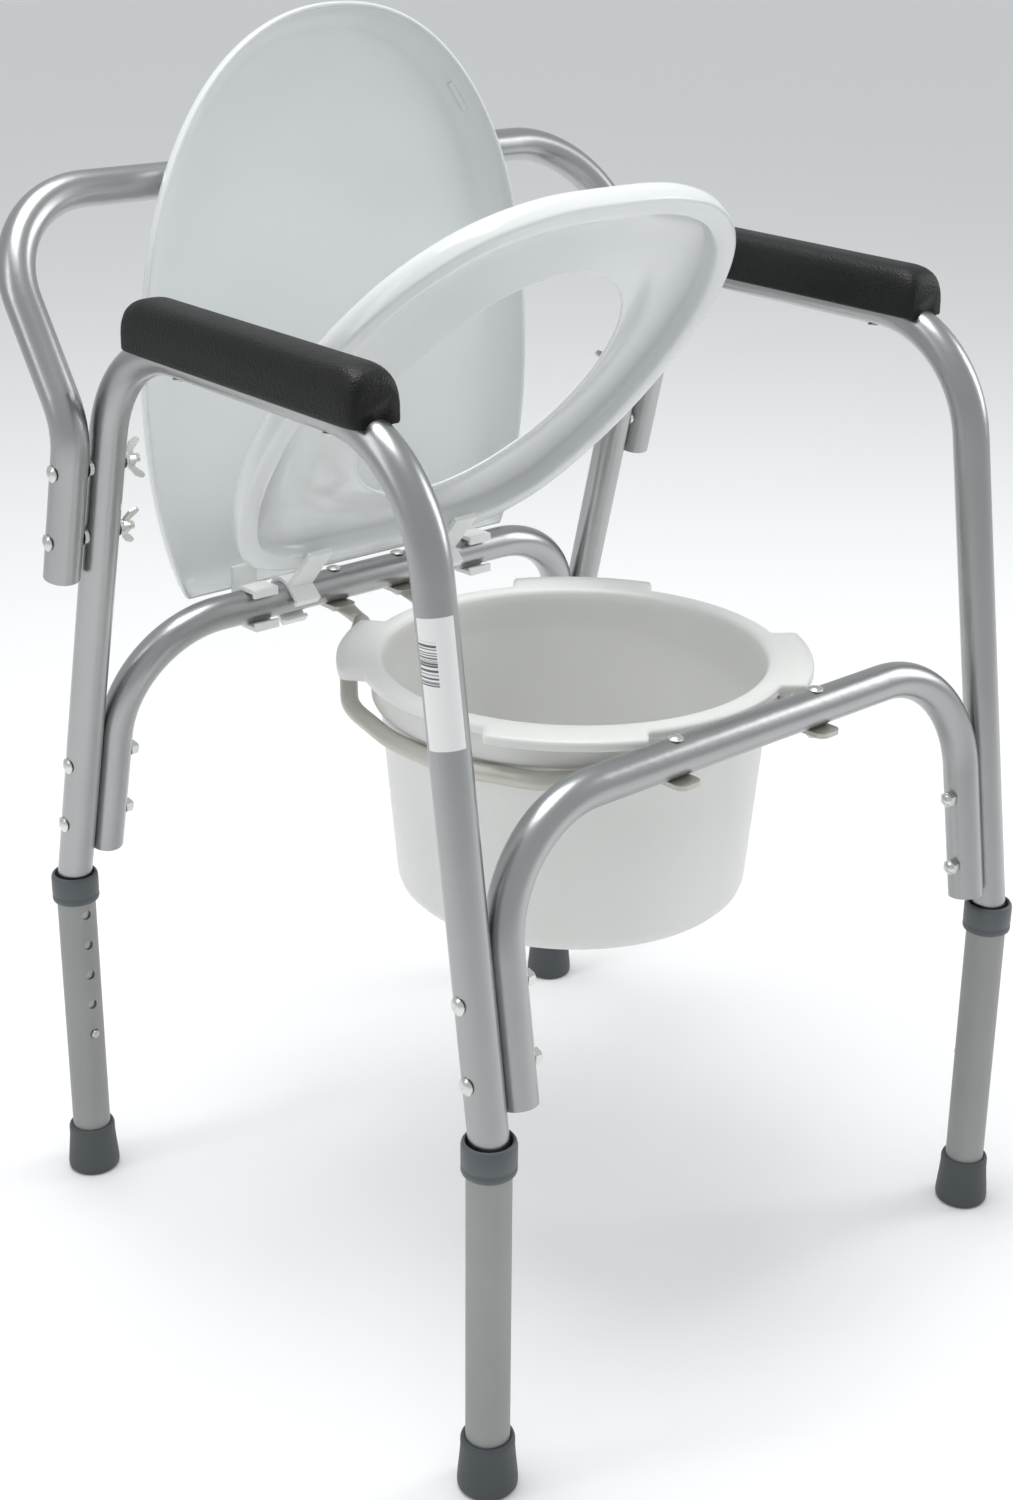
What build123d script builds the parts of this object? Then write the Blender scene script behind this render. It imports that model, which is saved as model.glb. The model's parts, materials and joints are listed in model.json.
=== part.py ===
from build123d import *
import os
from math import cos, radians, sin

os.makedirs("parts", exist_ok=True)

# Commode chair on four height-adjustable legs.
# Millimetres. X runs across the chair, -Y is the front, +Z is up, the floor is z = 0.
# The chair is symmetric about x = 0, and y = 0 is midway between the front and rear feet.

# --- driving dimensions -------------------------------------------------------------
TUBE_R = 12.7
TUBE_WALL = 1.3
SIDE_X = 243.4            # plane of each side frame
FOOT_Y = 239.4            # the vertical lower legs stand at y = +/-239.4
KNEE_Z = 252.0
KNEE_R = 30.0
ARM_R = 90.0              # bend radius at both ends of the arm
ARM_FRONT = (-176.9, 674.0)
ARM_REAR = (136.3, 680.0)
LEG_END_Z = 62.0          # lower end of the frame tube, inside the sleeve

RUN_GAP = 0.08            # radial clearance of the sliding and turning fits
SEAT_GAP = 0.05           # radial gap round fixed screws and pads
SLEEVE_R = 14.3
SLEEVE_TOP = 246.0
SLEEVE_BOTTOM = 7.0
HOLE_PITCH = 25.4
HOLE_COUNT = 5
BUTTON_Z = 122.5
BUTTON_R = 3.2
BUTTON_PROUD = 2.4
BUTTON_BASE = 9.0         # inner end of the button, off the leg's axis
BUTTON_FLANGE_R = 4.2
SPRING_W = 8.0
SPRING_T = 0.8
SPRING_LENGTH = 46.0
COLLAR_BOTTOM = 234.0
COLLAR_TOP = 256.0
COLLAR_R = 17.4
COLLAR_BORE = 14.6        # wide enough at the top to pass the start of the knee bend
TIP_H = 38.0
TIP_R = 19.6
TIP_TOP_R = 17.2

CROSS_X = SIDE_X - 2 * TUBE_R - 0.2
CROSS_R = 82.0
FRONT_CROSS_Z = 446.5
REAR_CROSS_Z = 450.3
FRONT_CROSS_END = 269.0
REAR_CROSS_END = 275.0
BOLT_R = 3.0
BOLT_HOLE_R = 3.25
HEAD_R = 5.8
HEAD_H = 3.0
HEAD_RIM = 0.8
NUT_ACROSS = 10.0
NUT_H = 5.0
NUT_DOME_R = 4.4
NUT_DOME_H = 3.4
FRONT_BOLTS_Z = (345.0, 294.2)
REAR_BOLTS_Z = (353.5, 302.7)

BACK_GAP = 3.0            # washer between the rear leg and the backrest tube
WASHER_R = 6.5
BACK_X = SIDE_X + 2 * TUBE_R + BACK_GAP
BACK_END_Z = 511.0
BACK_BEND_Z = 620.0       # height where the backrest tube leaves the rear leg
BACK_BEND_R = 45.0
BACK_TOP = (246.0, 758.0)
BACK_CORNER_R = 76.0
BACK_BOLTS_Z = (590.0, 539.5)
WING_STAND = 0.4          # gap between the rear leg and a wing nut
WING_HUB_R = 5.6
WING_HUB_H = 8.0
WING_T = 2.2
BACK_BOLT_END = SIDE_X - TUBE_R - 12.5

PAIL_Y = -46.7
PAIL_FLOOR_Z = 283.0
PAIL_BOTTOM_R = 125.2
PAIL_BODY_TOP_R = 136.4
PAIL_SHOULDER_Z = 425.8
PAIL_NECK_R = 142.5
PAIL_RIM_Z = 455.6
PAIL_MOUTH_R = 134.2
PAIL_RIM_R = 150.0
PAIL_RIM_T = 8.0
PAIL_TAB_R = 167.0
PAIL_TAB_TOP = 457.0
PAIL_TAB_HALF = 19.0      # half the width of a tab, in degrees round the rim
PAIL_TAB_CORNER = 7.0
PAIL_WALL = 2.6
PAIL_CORNER_R = 12.0

RAIL_R = 6.35
RAIL_REAR_X = 31.0
RAIL_FRONT_X = 66.0
STRAP_T = 3.2
STRAP_W = 20.0
STRAP_HALF = 17.0
RAIL_SCREW_R = 2.5

SEAT_ANGLE = 48.7         # rise of the half-lifted seat above the horizontal
SEAT_BASE = 2.0           # seat's lower edge, measured off the hinge axis
SEAT_CREST = 24.0
SEAT_HALF_W = 184.0
SEAT_FRONT = 423.0
SEAT_REAR = 33.0
SEAT_EDGE_R = 12.0
SEAT_LAND = 16.0          # width of the flat rim underneath
SEAT_LIFT = 4.0           # how far the inner ring is raised above the rim
SEAT_WALL = 3.2
SEAT_HOLE_CENTRE = 227.5
SEAT_HOLE_HALF_W = 100.0
SEAT_HOLE_HALF_L = 122.5
SEAT_DISH_W = 44.0        # width of the slope that runs down to the opening
SEAT_CLIP_X = 70.0

LID_ANGLE = 90.4
LID_BASE = 15.0
LID_CREST = 38.0
LID_HALF_W = 178.0
LID_HALF_L = 265.0
LID_CENTRE = 161.0
LID_POWER = 2.19
LID_REAR = 10.0
LID_EDGE_R = 16.0
LID_WALL = 3.0
LID_CLIP_X = 104.0
LID_BOSS_END = 28.0
BUMPER_FAR = (111.5, 362.5)
BUMPER_NEAR = (126.0, 342.0)
BUMPER_W = 4.0
BUMPER_H = 6.5            # from inside the lid's wall down to the bar's foot

CLIP_W = 21.0
CLIP_WALL = 3.2
CLIP_JAW = 15.5           # how far the jaws reach past the tube's axis
CLIP_HOOK = 3.0

PAD_FRONT_Y = -141.0
PAD_REAR_Y = 104.0
PAD_HALF_W = 19.0
PAD_TOP = 34.0            # above the arm tube's axis
PAD_EDGE_R = 13.0
PAD_END_R = 9.0
PAD_SCREWS_Y = (-95.0, 62.0)
PAD_SCREW_R = 2.2
PAD_SCREW_DEPTH = 22.0

LABEL_Z = (500.0, 577.0)
LABEL_HALF_ARC = 54.0     # half the label's wrap round the leg, in degrees
LABEL_T = 0.3


# --- leg lines ----------------------------------------------------------------------
def front_leg_y(z):
    run = (ARM_FRONT[0] + FOOT_Y) / (ARM_FRONT[1] - KNEE_Z)
    return -FOOT_Y + run * (z - KNEE_Z)


def rear_leg_y(z):
    run = (ARM_REAR[0] - FOOT_Y) / (ARM_REAR[1] - KNEE_Z)
    return FOOT_Y + run * (z - KNEE_Z)


def arm_z(y):
    rise = (ARM_REAR[1] - ARM_FRONT[1]) / (ARM_REAR[0] - ARM_FRONT[0])
    return ARM_FRONT[1] + rise * (y - ARM_FRONT[0])


FRONT_CROSS_Y = front_leg_y(FRONT_CROSS_Z)
REAR_CROSS_Y = rear_leg_y(REAR_CROSS_Z)
HINGE = Vector(0, REAR_CROSS_Y, REAR_CROSS_Z)
SIDES = {"left": -1, "right": 1}
LEGS = {
    "front_left": (-1, -1),
    "front_right": (1, -1),
    "rear_left": (-1, 1),
    "rear_right": (1, 1),
}


# --- helpers, each working in the part being built -------------------------------------
def save(part, name):
    part.part.label = name
    export_step(part.part, "parts/" + name + ".step")


def tube_along(points, radii, outer, inner=0, mode=Mode.ADD):
    """A tube along straight runs joined by tangent bends, solid where it has no inner radius."""
    with BuildLine():
        path = FilletPolyline(*points, radius=radii)
    with BuildSketch(Plane(origin=path @ 0, z_dir=path % 0)) as section:
        Circle(outer)
        if inner:
            Circle(inner, mode=Mode.SUBTRACT)
    sweep(section.sketch, path=path, mode=mode)


def x_hole(y, z, x_low, x_high, radius=BOLT_HOLE_R):
    """A round hole along X."""
    with BuildSketch(Plane(origin=(x_low, y, z), x_dir=(0, 1, 0), z_dir=(1, 0, 0))) as hole:
        Circle(radius)
    extrude(hole.sketch, amount=x_high - x_low, mode=Mode.SUBTRACT)


def z_hole(x, y, z_low, z_high, radius):
    """A round hole along Z."""
    with BuildSketch(Plane(origin=(x, y, z_low))) as hole:
        Circle(radius)
    extrude(hole.sketch, amount=z_high - z_low, mode=Mode.SUBTRACT)


def turning_plane(origin, way):
    """A plane through an axis: its X is the radius and its Y runs `way` along the axis."""
    along = Vector(*way)
    radius = Vector(0, 0, 1) if way[2] == 0 else Vector(1, 0, 0)
    return Plane(origin=origin, x_dir=radius, z_dir=radius.cross(along))


def turned(origin, way, outline):
    """A solid turned from a closed outline of (radius, height) points."""
    with BuildSketch(turning_plane(origin, way)) as profile:
        with BuildLine():
            Polyline(*outline, close=True)
        make_face()
    revolve(profile.sketch, axis=Axis(origin, way))


def domed_screw(origin, way, shank_r, length, head_r=HEAD_R, head_h=HEAD_H):
    """A domed-head screw: the flat of its head is at origin and its shank runs `way`."""
    with BuildSketch(turning_plane(origin, way)) as profile:
        with BuildLine():
            Polyline((0, -head_h), (0, length), (shank_r, length), (shank_r, 0), (head_r, 0), (head_r, -HEAD_RIM))
            TangentArc((0, -head_h), (head_r, -HEAD_RIM), tangent=(1, 0))
        make_face()
    revolve(profile.sketch, axis=Axis(origin, way))


def hex_nut(origin, way, bore, across=NUT_ACROSS, height=NUT_H, domed=True):
    """A hexagon nut standing on origin, with a domed cap on acorn nuts."""
    base = Plane(origin=origin, z_dir=way)
    with BuildSketch(base) as hexagon:
        RegularPolygon(radius=across / 2, side_count=6, major_radius=False)
    extrude(hexagon.sketch, amount=height)
    if domed:
        with BuildSketch(turning_plane(origin, way)) as dome:
            with BuildLine():
                Polyline((0, height + NUT_DOME_H), (0, height - 1), (NUT_DOME_R, height - 1), (NUT_DOME_R, height))
                TangentArc((0, height + NUT_DOME_H), (NUT_DOME_R, height), tangent=(1, 0))
            make_face()
        revolve(dome.sketch, axis=Axis(origin, way))
    with BuildSketch(base) as thread:
        Circle(bore)
    extrude(thread.sketch, amount=height if domed else height + 1, mode=Mode.SUBTRACT)


def hinge_plane(angle, base, x=0.0):
    """A plane on a panel hinged on the rear cross tube: its Y runs from the hinge to the panel's free
    edge, its Z is the panel's upper side, and its origin is `base` off the hinge axis."""
    rise = radians(angle)
    up = Vector(0, sin(rise), cos(rise))
    return Plane(origin=HINGE + up * base + Vector(x, 0, 0), x_dir=(-1, 0, 0), z_dir=up)


def side_route(sx):
    """The corners of one side frame's tube, from the front foot over the arm to the rear foot."""
    return [
        (sx * SIDE_X, -FOOT_Y, LEG_END_Z),
        (sx * SIDE_X, -FOOT_Y, KNEE_Z),
        (sx * SIDE_X, ARM_FRONT[0], ARM_FRONT[1]),
        (sx * SIDE_X, ARM_REAR[0], ARM_REAR[1]),
        (sx * SIDE_X, FOOT_Y, KNEE_Z),
        (sx * SIDE_X, FOOT_Y, LEG_END_Z),
    ]


# --- side frames: one tube each, foot to foot over the arm ---------------------------
SIDE_BENDS = [KNEE_R, ARM_R, ARM_R, KNEE_R]
for side, sx in SIDES.items():
    with BuildPart() as side_frame:
        tube_along(side_route(sx), SIDE_BENDS, TUBE_R, TUBE_R - TUBE_WALL)
        for z in FRONT_BOLTS_Z:
            x_hole(front_leg_y(z), z, sx * SIDE_X - 20, sx * SIDE_X + 20)
        for z in REAR_BOLTS_Z + BACK_BOLTS_Z:
            x_hole(rear_leg_y(z), z, sx * SIDE_X - 20, sx * SIDE_X + 20)
        for y in PAD_SCREWS_Y:
            z_hole(sx * SIDE_X, y, arm_z(y) - 20, arm_z(y) + 20, PAD_SCREW_R + 0.2)
        for face in (-1, 1):
            # spring button holes: the front legs' face the rear, the rear legs' face the front
            with BuildSketch(Plane(origin=(sx * SIDE_X, face * FOOT_Y, BUTTON_Z), z_dir=(0, -face, 0))):
                Circle(BUTTON_R + RUN_GAP)
            extrude(amount=20, mode=Mode.SUBTRACT)
    save(side_frame, "side_frame_" + side)

# --- cross tubes: inverted U tubes bolted inside the legs ------------------------------
for name, leg_y, level, end_z, bolts, screw_x in (
    ("front_cross_tube", front_leg_y, FRONT_CROSS_Z, FRONT_CROSS_END, FRONT_BOLTS_Z, RAIL_FRONT_X),
    ("rear_cross_tube", rear_leg_y, REAR_CROSS_Z, REAR_CROSS_END, REAR_BOLTS_Z, RAIL_REAR_X),
):
    route = [
        (-CROSS_X, leg_y(end_z), end_z),
        (-CROSS_X, leg_y(level), level),
        (CROSS_X, leg_y(level), level),
        (CROSS_X, leg_y(end_z), end_z),
    ]
    with BuildPart() as cross_tube:
        tube_along(route, [CROSS_R, CROSS_R], TUBE_R, TUBE_R - TUBE_WALL)
        for z in bolts:
            x_hole(leg_y(z), z, -CROSS_X - 20, CROSS_X + 20)
        for x in (-screw_x, screw_x):
            z_hole(x, leg_y(level), level - 20, level + 20, RAIL_SCREW_R + 0.2)
    save(cross_tube, name)

# --- backrest: a leaning U tube bolted outside the rear legs ---------------------------
with BuildPart() as backrest_tube:
    tube_along(
        [
            (-BACK_X, rear_leg_y(BACK_END_Z), BACK_END_Z),
            (-BACK_X, rear_leg_y(BACK_BEND_Z), BACK_BEND_Z),
            (-BACK_X, BACK_TOP[0], BACK_TOP[1]),
            (BACK_X, BACK_TOP[0], BACK_TOP[1]),
            (BACK_X, rear_leg_y(BACK_BEND_Z), BACK_BEND_Z),
            (BACK_X, rear_leg_y(BACK_END_Z), BACK_END_Z),
        ],
        [BACK_BEND_R, BACK_CORNER_R, BACK_CORNER_R, BACK_BEND_R],
        TUBE_R,
        TUBE_R - TUBE_WALL,
    )
    for z in BACK_BOLTS_Z:
        x_hole(rear_leg_y(z), z, -BACK_X - 20, BACK_X + 20)
save(backrest_tube, "backrest_tube")

# --- frame bolts and acorn nuts: legs to cross tubes -----------------------------------
FRAME_JOINTS = [(sx, front_leg_y(z), z) for sx in SIDES.values() for z in FRONT_BOLTS_Z]
FRAME_JOINTS += [(sx, rear_leg_y(z), z) for sx in SIDES.values() for z in REAR_BOLTS_Z]
BACK_JOINTS = [(sx, rear_leg_y(z), z) for sx in SIDES.values() for z in BACK_BOLTS_Z]
CROSS_INNER = CROSS_X - TUBE_R
with BuildPart() as frame_bolts:
    for sx, y, z in FRAME_JOINTS:
        reach = SIDE_X + TUBE_R - CROSS_INNER + NUT_H - 1
        domed_screw((sx * (SIDE_X + TUBE_R), y, z), (-sx, 0, 0), BOLT_R, reach)
save(frame_bolts, "frame_bolts")
with BuildPart() as frame_acorn_nuts:
    for sx, y, z in FRAME_JOINTS:
        hex_nut((sx * CROSS_INNER, y, z), (-sx, 0, 0), BOLT_R + SEAT_GAP)
save(frame_acorn_nuts, "frame_acorn_nuts")

# --- backrest bolts, washers and wing nuts ---------------------------------------------
with BuildPart() as backrest_bolts:
    for sx, y, z in BACK_JOINTS:
        domed_screw((sx * (BACK_X + TUBE_R), y, z), (-sx, 0, 0), BOLT_R, BACK_X + TUBE_R - BACK_BOLT_END)
save(backrest_bolts, "backrest_bolts")
with BuildPart() as backrest_washers:
    for sx, y, z in BACK_JOINTS:
        ring = [(BOLT_R + SEAT_GAP, 0), (WASHER_R, 0), (WASHER_R, BACK_GAP), (BOLT_R + SEAT_GAP, BACK_GAP)]
        turned((sx * (SIDE_X + TUBE_R), y, z), (sx, 0, 0), ring)
save(backrest_washers, "backrest_washers")

WING_TILT = {"left_upper": 12, "left_lower": -20, "right_upper": 35, "right_lower": 5}
WING_OUTLINE = [(3.8, 3.0), (7.5, 4.2), (12.0, 7.5), (14.3, 12.5), (12.6, 15.2), (9.6, 13.0), (6.2, 8.8), (3.8, 8.0)]
for side, sx in SIDES.items():
    for level, z in zip(("upper", "lower"), BACK_BOLTS_Z):
        stand = (sx * (SIDE_X - TUBE_R - WING_STAND), rear_leg_y(z), z)
        tilt = radians(WING_TILT[side + "_" + level])
        flat = Vector(0, sin(tilt), cos(tilt))
        along = Vector(-sx, 0, 0)
        with BuildPart() as wing_nut:
            hub = [(0, 0), (WING_HUB_R, 0), (WING_HUB_R, 3.0), (WING_HUB_R - 1.2, WING_HUB_H), (0, WING_HUB_H)]
            turned(stand, (-sx, 0, 0), hub)
            for face in (flat, flat * -1):
                with BuildSketch(Plane(origin=stand, x_dir=face, z_dir=face.cross(along))):
                    with BuildLine():
                        Polyline(*WING_OUTLINE, close=True)
                    make_face()
                    fillet(vertices().sort_by(Axis.Y)[-3:], 1.2)
                extrude(amount=WING_T / 2, both=True)
            x_hole(stand[1], stand[2], stand[0] - 30, stand[0] + 30, BOLT_R + RUN_GAP - 0.02)
        save(wing_nut, "wing_nut_" + side + "_" + level)

# --- extension legs ----------------------------------------------------------------------
for leg, (sx, fy) in LEGS.items():
    x, y = sx * SIDE_X, fy * FOOT_Y
    inner = TUBE_R + RUN_GAP
    with BuildPart() as leg_sleeve:
        turned((x, y, 0), (0, 0, 1), [
            (inner, SLEEVE_BOTTOM), (SLEEVE_R, SLEEVE_BOTTOM), (SLEEVE_R, SLEEVE_TOP), (inner, SLEEVE_TOP)])
        for number in range(HOLE_COUNT):
            with BuildSketch(Plane(origin=(x, y, BUTTON_Z + number * HOLE_PITCH), z_dir=(0, -fy, 0))):
                Circle(BUTTON_R + 0.4)
            extrude(amount=20, mode=Mode.SUBTRACT)
    save(leg_sleeve, "leg_sleeve_" + leg)

    with BuildPart() as leg_collar:
        turned((x, y, 0), (0, 0, 1), [
            (SLEEVE_R, COLLAR_BOTTOM), (COLLAR_R - 0.8, COLLAR_BOTTOM), (COLLAR_R, COLLAR_BOTTOM + 1.5),
            (COLLAR_R, COLLAR_TOP - 2.0), (COLLAR_R - 1.2, COLLAR_TOP), (COLLAR_BORE, COLLAR_TOP),
            (COLLAR_BORE, SLEEVE_TOP), (SLEEVE_R, SLEEVE_TOP)])
    save(leg_collar, "leg_collar_" + leg)

    with BuildPart() as rubber_tip:
        turned((x, y, 0), (0, 0, 1), [
            (0, 0), (TIP_R - 1.2, 0), (TIP_R, 2.0), (TIP_R - 0.3, 12.0), (TIP_TOP_R + 0.5, TIP_H - 5.0),
            (TIP_TOP_R, TIP_H - 1.5), (TIP_TOP_R - 1.2, TIP_H), (SLEEVE_R, TIP_H),
            (SLEEVE_R, SLEEVE_BOTTOM), (0, SLEEVE_BOTTOM)])
    save(rubber_tip, "rubber_tip_" + leg)

    head = SLEEVE_R + BUTTON_PROUD
    with BuildPart() as snap_button:
        turned((x, y, BUTTON_Z), (0, -fy, 0), [
            (0, BUTTON_BASE), (BUTTON_FLANGE_R, BUTTON_BASE), (BUTTON_FLANGE_R, BUTTON_BASE + 1.0),
            (BUTTON_R, BUTTON_BASE + 1.0), (BUTTON_R, head - 1.4), (BUTTON_R - 0.5, head - 0.5),
            (BUTTON_R - 1.5, head), (0, head)])
    save(snap_button, "snap_button_" + leg)

    near = BUTTON_BASE - 0.4
    far = -(TUBE_R - TUBE_WALL - 1.6)
    with BuildPart() as leaf_spring:
        with BuildSketch(Plane(origin=(x, y, BUTTON_Z), x_dir=(0, -fy, 0), z_dir=(-fy, 0, 0))):
            with BuildLine():
                FilletPolyline((near, -8), (near, 8), (0, SPRING_LENGTH), (far, 8), (far, -8), radius=[6, 3, 6])
            trace(line_width=SPRING_T)
        extrude(amount=SPRING_W / 2, both=True)
    save(leaf_spring, "leaf_spring_" + leg)

# --- pail ----------------------------------------------------------------------------------
with BuildPart() as pail:
    with BuildSketch(turning_plane((0, PAIL_Y, 0), (0, 0, 1))):
        with BuildLine():
            Polyline(
                (0, PAIL_FLOOR_Z + PAIL_WALL),
                (0, PAIL_FLOOR_Z),
                (PAIL_BOTTOM_R - PAIL_CORNER_R, PAIL_FLOOR_Z),
            )
            TangentArc(
                (PAIL_BOTTOM_R - PAIL_CORNER_R, PAIL_FLOOR_Z),
                (PAIL_BOTTOM_R, PAIL_FLOOR_Z + PAIL_CORNER_R),
                tangent=(1, 0),
            )
            Polyline(
                (PAIL_BOTTOM_R, PAIL_FLOOR_Z + PAIL_CORNER_R),
                (PAIL_BODY_TOP_R, PAIL_SHOULDER_Z),
                (PAIL_NECK_R, PAIL_SHOULDER_Z + 1.0),
                (PAIL_NECK_R, PAIL_RIM_Z - PAIL_RIM_T - 2.0),
                (PAIL_RIM_R, PAIL_RIM_Z - PAIL_RIM_T),
                (PAIL_RIM_R, PAIL_RIM_Z),
                (PAIL_MOUTH_R, PAIL_RIM_Z),
                (PAIL_BODY_TOP_R - PAIL_WALL, PAIL_SHOULDER_Z),
                (PAIL_BOTTOM_R - PAIL_WALL, PAIL_FLOOR_Z + PAIL_CORNER_R),
            )
            TangentArc(
                (PAIL_BOTTOM_R - PAIL_CORNER_R, PAIL_FLOOR_Z + PAIL_WALL),
                (PAIL_BOTTOM_R - PAIL_WALL, PAIL_FLOOR_Z + PAIL_CORNER_R),
                tangent=(1, 0),
            )
            Line((PAIL_BOTTOM_R - PAIL_CORNER_R, PAIL_FLOOR_Z + PAIL_WALL), (0, PAIL_FLOOR_Z + PAIL_WALL))
        make_face()
    revolve(axis=Axis((0, PAIL_Y, 0), (0, 0, 1)))
    for turn in (45, 135, 225, 315):
        # four lifting tabs round the rim
        low, high = turn - PAIL_TAB_HALF, turn + PAIL_TAB_HALF
        with BuildSketch(Plane.XY.offset(PAIL_RIM_Z - PAIL_RIM_T)):
            with BuildLine():
                inner = CenterArc((0, PAIL_Y), PAIL_RIM_R - 4, low, high - low)
                outer = CenterArc((0, PAIL_Y), PAIL_TAB_R, low, high - low)
                Line(inner @ 0, outer @ 0)
                Line(inner @ 1, outer @ 1)
            make_face()
            fillet(vertices().sort_by_distance((0, PAIL_Y))[-2:], PAIL_TAB_CORNER)
        extrude(amount=PAIL_TAB_TOP - PAIL_RIM_Z + PAIL_RIM_T)
save(pail, "pail")

# --- pail rails: bent tubes whose flattened ends are screwed under the cross tubes ---------
REAR_STRAP_Z = REAR_CROSS_Z - TUBE_R - STRAP_T / 2
FRONT_STRAP_Z = FRONT_CROSS_Z - TUBE_R - STRAP_T / 2
RAIL_BENDS = [
    (80.0, 110.0, 421.0),
    (128.0, 45.0, 419.0),
    (144.5, -22.0, 419.0),
    (142.5, -80.0, 419.0),
    (116.0, -139.0, 420.0),
]
RAIL_BEND_R = [60.0, 90.0, 110.0, 70.0, 70.0]
for side, sx in SIDES.items():
    rear_end = Vector(sx * RAIL_REAR_X, REAR_CROSS_Y - STRAP_HALF - 18, REAR_STRAP_Z - 6.5)
    front_end = Vector(sx * (RAIL_FRONT_X + 4), FRONT_CROSS_Y + STRAP_HALF + 4, FRONT_STRAP_Z - 4.4)
    bends = [Vector(sx * x, y, z) for x, y, z in RAIL_BENDS]
    with BuildPart() as pail_rail:
        tube_along([rear_end, *bends, front_end], RAIL_BEND_R, RAIL_R)
        for x, y, z, end, way in (
            (RAIL_REAR_X, REAR_CROSS_Y, REAR_STRAP_Z, rear_end, (bends[0] - rear_end).normalized() * -1),
            (RAIL_FRONT_X, FRONT_CROSS_Y, FRONT_STRAP_Z, front_end, (bends[-1] - front_end).normalized() * -1),
        ):
            inward = -1 if y > 0 else 1
            with BuildSketch(Plane(origin=(sx * x, y, z - STRAP_T / 2))) as strap:
                RectangleRounded(STRAP_W, 2 * STRAP_HALF, 6)
            extrude(strap.sketch, amount=STRAP_T)
            # the tube flattens into the strap
            with BuildSketch(Plane(origin=end, z_dir=way)) as round_end:
                Circle(RAIL_R)
            root = Plane(origin=(sx * x, y + inward * (STRAP_HALF - 7), z), x_dir=(1, 0, 0), z_dir=(0, -inward, 0))
            with BuildSketch(root) as flat_end:
                Ellipse(STRAP_W / 2, STRAP_T / 2)
            loft(sections=[round_end.sketch, flat_end.sketch])
            z_hole(sx * x, y, z - 20, z + 20, RAIL_SCREW_R + 0.2)
    save(pail_rail, "pail_rail_" + side)

RAIL_ENDS = [(sx * RAIL_REAR_X, REAR_CROSS_Y, REAR_CROSS_Z) for sx in SIDES.values()]
RAIL_ENDS += [(sx * RAIL_FRONT_X, FRONT_CROSS_Y, FRONT_CROSS_Z) for sx in SIDES.values()]
with BuildPart() as rail_screws:
    for x, y, z in RAIL_ENDS:
        domed_screw((x, y, z + TUBE_R), (0, 0, -1), RAIL_SCREW_R, 2 * TUBE_R + STRAP_T + 5.5, 5.4, 2.6)
save(rail_screws, "rail_screws")
with BuildPart() as rail_nuts:
    for x, y, z in RAIL_ENDS:
        hex_nut((x, y, z - TUBE_R - STRAP_T), (0, 0, -1), RAIL_SCREW_R + SEAT_GAP, 8.0, 4.0, False)
save(rail_nuts, "rail_nuts")

# --- seat: a hollow ring, dished towards its opening ----------------------------------------
SEAT_SIDE = [(60, 419), (112, 398), (152, 357), (176, 300), (SEAT_HALF_W, 238), (179, 165), (163, 108), (137, 62), (97, 38)]
SEAT_SIDE += [(50, SEAT_REAR)]


SEAT_PLANE = hinge_plane(SEAT_ANGLE, SEAT_BASE)
SEAT_UP = Axis(SEAT_PLANE.origin, SEAT_PLANE.z_dir)


def seat_face(inset):
    """The seat's outline drawn in by inset: narrower and nearly straight towards the hinge."""
    middle = (SEAT_FRONT + SEAT_REAR) / 2
    half_l = SEAT_FRONT - middle
    side = []
    for x, s in SEAT_SIDE:
        side.append((x * (1 - inset / SEAT_HALF_W), middle + (s - middle) * (1 - inset / half_l)))
    with BuildSketch(SEAT_PLANE) as outline:
        with BuildLine():
            Spline((0, SEAT_FRONT - inset), *side, *[(-x, s) for x, s in reversed(side)], periodic=True)
        make_face()
    return outline.sketch


def seat_oval(grow, rise, shift=0.0):
    """The opening's oval, enlarged all round by grow, at a height above the seat's lower edge."""
    with BuildSketch(SEAT_PLANE.offset(rise)) as oval:
        with Locations((0, SEAT_HOLE_CENTRE + shift)):
            Ellipse(SEAT_HOLE_HALF_W + grow, SEAT_HOLE_HALF_L + grow)
    return oval.sketch


def cut_dish(drop):
    """Takes away the dished slope round the opening; drop widens and lowers it."""
    foot = SEAT_LIFT + 3.0 - drop
    crown = SEAT_CREST - SEAT_BASE - drop
    loft([seat_oval(drop, foot), seat_oval(SEAT_DISH_W + drop, crown, 2.0)], ruled=True, mode=Mode.SUBTRACT)


with BuildPart() as seat_hollow:
    extrude(seat_face(SEAT_LAND), amount=SEAT_CREST - SEAT_BASE - SEAT_WALL)
    cut_dish(SEAT_WALL)
    extrude(seat_oval(SEAT_WALL, 0), amount=SEAT_CREST, mode=Mode.SUBTRACT)
with BuildPart() as seat:
    extrude(seat_face(0), amount=SEAT_CREST - SEAT_BASE)
    fillet(edges().group_by(SEAT_UP)[-1], SEAT_EDGE_R)
    cut_dish(0)
    extrude(seat_oval(0, 0), amount=SEAT_CREST, mode=Mode.SUBTRACT)
    extrude(seat_face(SEAT_LAND), amount=SEAT_LIFT, mode=Mode.SUBTRACT)
    add(seat_hollow.part, mode=Mode.SUBTRACT)
save(seat, "seat")

# --- lid: a shallow dome with a straight rear edge ------------------------------------------
LID_PLANE = hinge_plane(LID_ANGLE, LID_BASE)
LID_UP = Axis(LID_PLANE.origin, LID_PLANE.z_dir)
LID_STEPS = 24


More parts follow.
